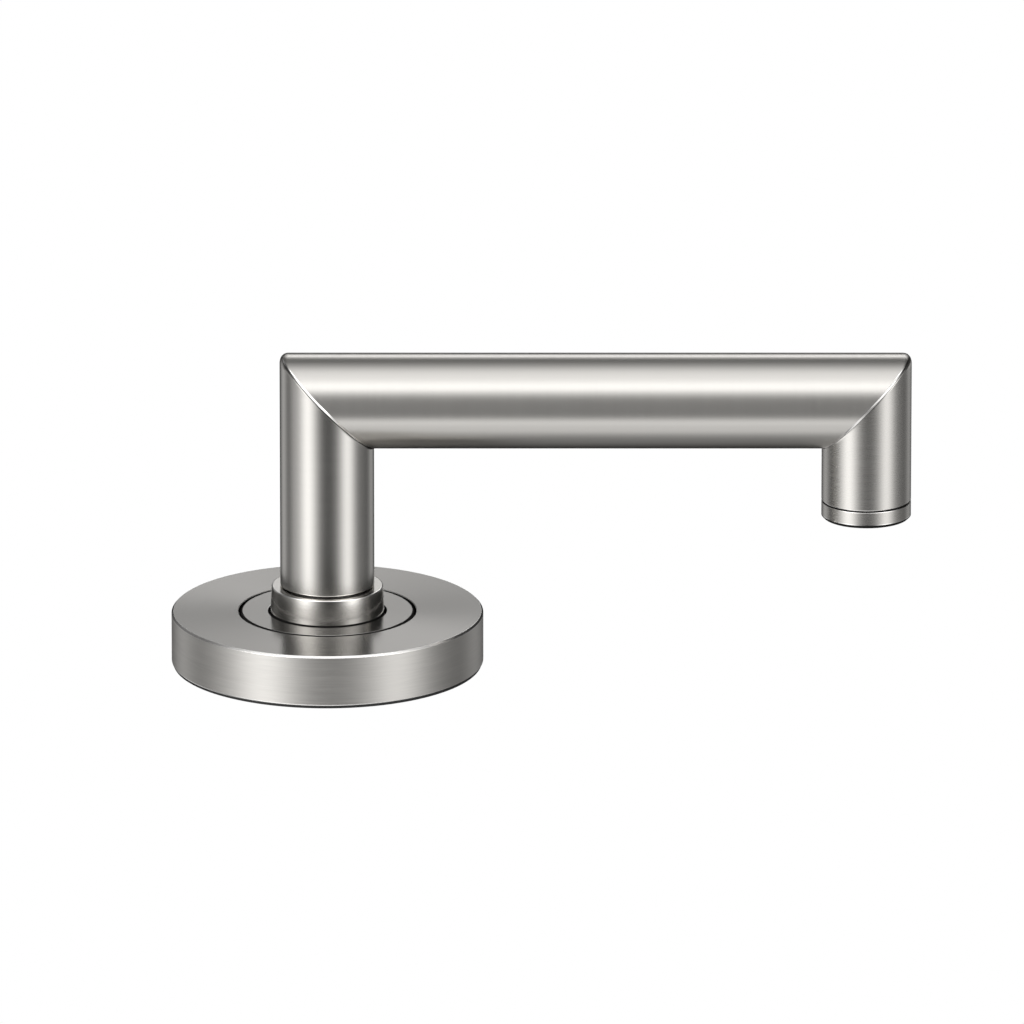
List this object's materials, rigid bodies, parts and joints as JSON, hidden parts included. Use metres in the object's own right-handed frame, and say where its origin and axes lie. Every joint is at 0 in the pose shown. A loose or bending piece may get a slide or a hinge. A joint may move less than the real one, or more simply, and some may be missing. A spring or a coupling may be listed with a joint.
{
  "type": "door lever handle",
  "caption": "Mitred round-tube lever with a short return leg, turning in a sprung cassette on a round rose that lies flat on a door.",
  "frame": {"origin": "on the spindle's axis, in the plane of the rose's back, which lies on the door's face", "axes": "+Z out of the door along the spindle's axis, +X along the lever towards its return leg, +Y up on a door whose lever points to the right"},
  "size_m": [0.1469, 0.062, 0.0638],
  "materials": {
    "satin_stainless": "stainless steel, satin brushed",
    "zinc_casting": null,
    "spring_steel": "bright drawn and stamped spring steel",
    "black_oxide_steel": "black oxide set screw",
    "plated_screws": "bright zinc plate",
    "black_rubber": "matt black rubber",
    "black_nylon": "moulded glass-filled nylon",
    "white_acetal": "moulded acetal"
  },
  "bodies": {
    "rose": {"base_plate": "zinc_casting", "backing_gasket": "black_rubber", "cover_grip_ring": "black_rubber", "bearing_bush": "white_acetal", "spring_housing": "black_nylon", "housing_lid": "black_nylon", "housing_screws": "plated_screws", "face_ring": "satin_stainless", "return_spring_upper": "spring_steel", "return_spring_lower": "spring_steel"},
    "lever": {"lever_neck": "satin_stainless", "lever_arm": "satin_stainless", "lever_return": "satin_stainless", "end_cap": "satin_stainless", "neck_collar": "satin_stainless", "spindle_hub": "zinc_casting", "spring_cam": "zinc_casting", "hub_washer": "spring_steel", "hub_circlip": "spring_steel", "grub_screw": "black_oxide_steel"},
    "cover": {"rose_cover": "satin_stainless"}
  },
  "joints": [
    {"name": "lever_turn", "type": "hinge", "parent": "rose", "child": "lever", "pos_m": [0, 0, 0], "axis": [0, 0, 1], "range_deg": [-45, 45], "stiffness_Nm_per_rad": 0.6, "deforming": ["return_spring_upper", "return_spring_lower"]},
    {"name": "cover_slide", "type": "slide", "parent": "rose", "child": "cover", "axis": [0, 0, 1], "range_m": [0, 0.033]}
  ]
}
